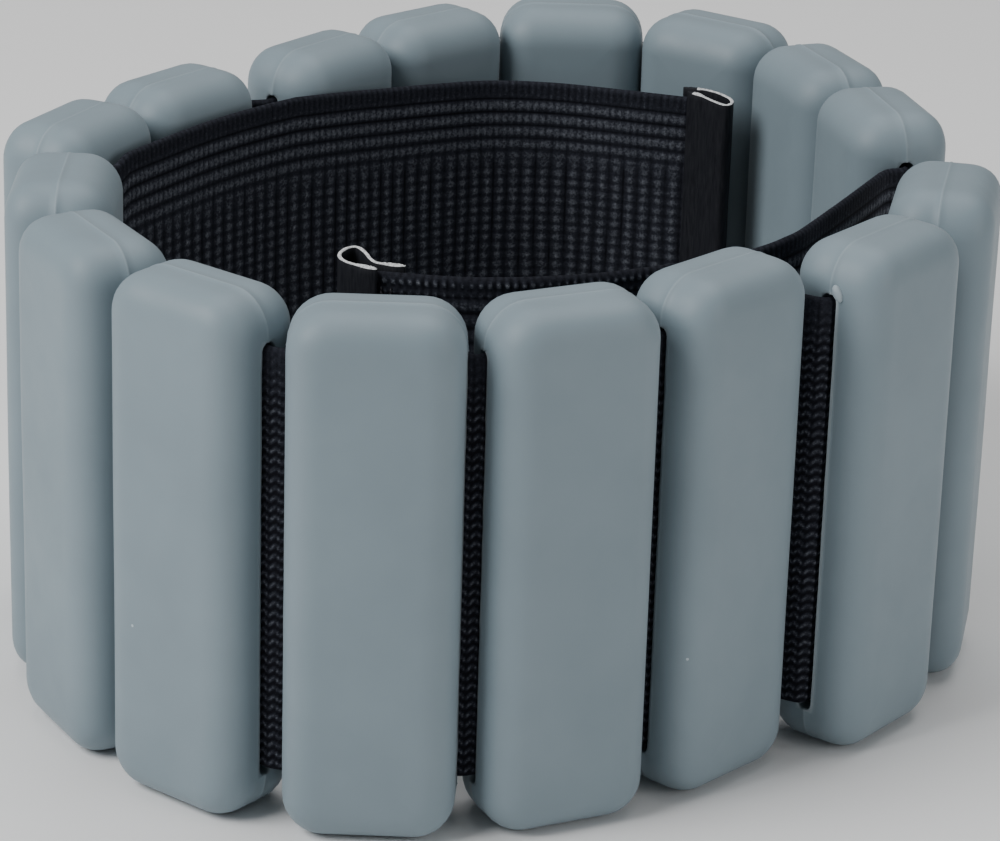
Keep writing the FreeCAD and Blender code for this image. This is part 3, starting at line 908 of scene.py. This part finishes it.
def hook_patch(band, at):
    """A thin pad covered in small bent hooks, on the outward side of the tail's end."""
    low_x, high_x, low_z, high_z = -10.0, -1.0, 9.5, 56.5
    xs = np.linspace(low_x, high_x, 13)
    zs = np.linspace(low_z, high_z, 48)
    points, faces = [], []
    for level in (0.02, 0.30):
        for x in xs:
            for z in zs:
                edge = min(x - low_x, high_x - x, z - low_z, high_z - z)
                thick = level if edge > 0.1 else level * 0.6
                points.append(at @ Vector((x, thick, z)))
    up, other = len(zs), len(xs) * len(zs)
    for i in range(len(xs) - 1):
        for j in range(up - 1):
            a, b = i * up + j, (i + 1) * up + j
            faces += [(a, b, b + 1, a + 1), (a + other, a + 1 + other, b + 1 + other, b + other)]
    border = ([(i, 0) for i in range(len(xs))] + [(len(xs) - 1, j) for j in range(1, up)]
              + [(i, up - 1) for i in range(len(xs) - 2, -1, -1)]
              + [(0, j) for j in range(up - 2, 0, -1)])
    for (i, j), (k, m) in zip(border, border[1:] + border[:1]):
        a, b = i * up + j, k * up + m
        faces.append((a, a + other, b + other, b))
    parts = [(points, faces)]
    for i in range(HOOK_COLUMNS):
        for j in range(HOOK_ROWS):
            x = low_x + HOOK_MARGIN + i * 1.2
            z = low_z + HOOK_MARGIN + j * 1.36
            lean = 0.35 if (i + j) % 2 else -0.35
            foot, head = at @ Vector((x, 0.2, z)), at @ Vector((x + lean, 0.78, z + 0.1))
            parts.append(peg((foot, head), 0.13, 6, 5))
    points, faces = joined(parts)
    made = mesh_from(f"hooks_{band}", points, faces, [HOOKS])
    return finish_piece(made, [f"{band}_hook_patch"], f"{band}_tail")


# ---------------------------------------------------------------- the object

JOINED = {frozenset((joint["parent"], joint["child"])) for joint in frame["joints"]}

for band in BANDS:
    for number in range(1, BAR_COUNT + 1):
        jacket(band, number)
        core = frame["nodes"][f"{band}_core_{number}"]
        core.data.materials.clear()
        core.data.materials.append(STEEL)
    for number in range(1, BAR_COUNT):
        joined_here = (f"{band}_bar_{number}", f"{band}_bar_{number + 1}")
        link = strap_link if frozenset(joined_here) in JOINED else cut_link
        link(band, number)
    tip = tail(band)
    end_tab(band, tip)
    stitching(band, tip)
    hook_patch(band, tip)


# ---------------------------------------------------------------- floor, light and camera

LIT = Vector((0, 0, 0.03))  # what the lights face, in metres
FLOOR_HALF = 3000
WORLD_STRENGTH = 0.167


def area_light(name, position, energy, size):
    """A white square light that faces the ring."""
    light = bpy.data.lights.new(name, "AREA")
    light.energy, light.size = energy, size
    made = bpy.data.objects.new(name, light)
    made.location = position
    made.rotation_euler = (LIT - Vector(position)).to_track_quat("-Z", "Y").to_euler()
    bpy.context.scene.collection.objects.link(made)


floor_corners = [(x * FLOOR_HALF, y * FLOOR_HALF, 0)
                 for x, y in ((-1, -1), (1, -1), (1, 1), (-1, 1))]
floor = mesh_from("floor", floor_corners, [(0, 1, 2, 3)], [FLOOR])

world = bpy.data.worlds.new("studio")
world.use_nodes = True
background = world.node_tree.nodes["Background"]
background.inputs["Color"].default_value = (1, 1, 1, 1)
background.inputs["Strength"].default_value = WORLD_STRENGTH
bpy.context.scene.world = world

area_light("key", (-0.60, -0.30, 0.62), 6.7, 0.5)
area_light("top", (0.10, 0.25, 0.95), 4.8, 0.8)
area_light("fill", (0.80, -0.45, 0.30), 1.83, 0.5)

# The camera, in millimetres and degrees, seen from the target's front
TARGET = Vector((0.747, -17.94, 33.54))
DISTANCE, ELEVATION, AZIMUTH, ROLL = 494.7, 21.52, 0.504, 1.745
FOCAL, SENSOR = 139.29, 36.0


def photo_camera():
    lens = bpy.data.cameras.new("camera")
    lens.lens, lens.sensor_width = FOCAL, SENSOR
    lens.clip_start, lens.clip_end = 0.01, 20
    up_angle = math.radians(ELEVATION)
    swing = Matrix.Rotation(-math.radians(AZIMUTH), 3, "Z")
    back = swing @ Vector((0, -math.cos(up_angle), math.sin(up_angle)))
    right = swing @ Vector((1, 0, 0))
    up = back.cross(right)
    roll = math.radians(ROLL)
    side = right * math.cos(roll) + up * math.sin(roll)
    over = up * math.cos(roll) - right * math.sin(roll)
    made = bpy.data.objects.new("camera", lens)
    axes = Matrix((side, over, back)).transposed().to_4x4()
    made.matrix_world = Matrix.Translation((TARGET + back * DISTANCE) * MM) @ axes
    bpy.context.scene.collection.objects.link(made)
    bpy.context.scene.camera = made


photo_camera()
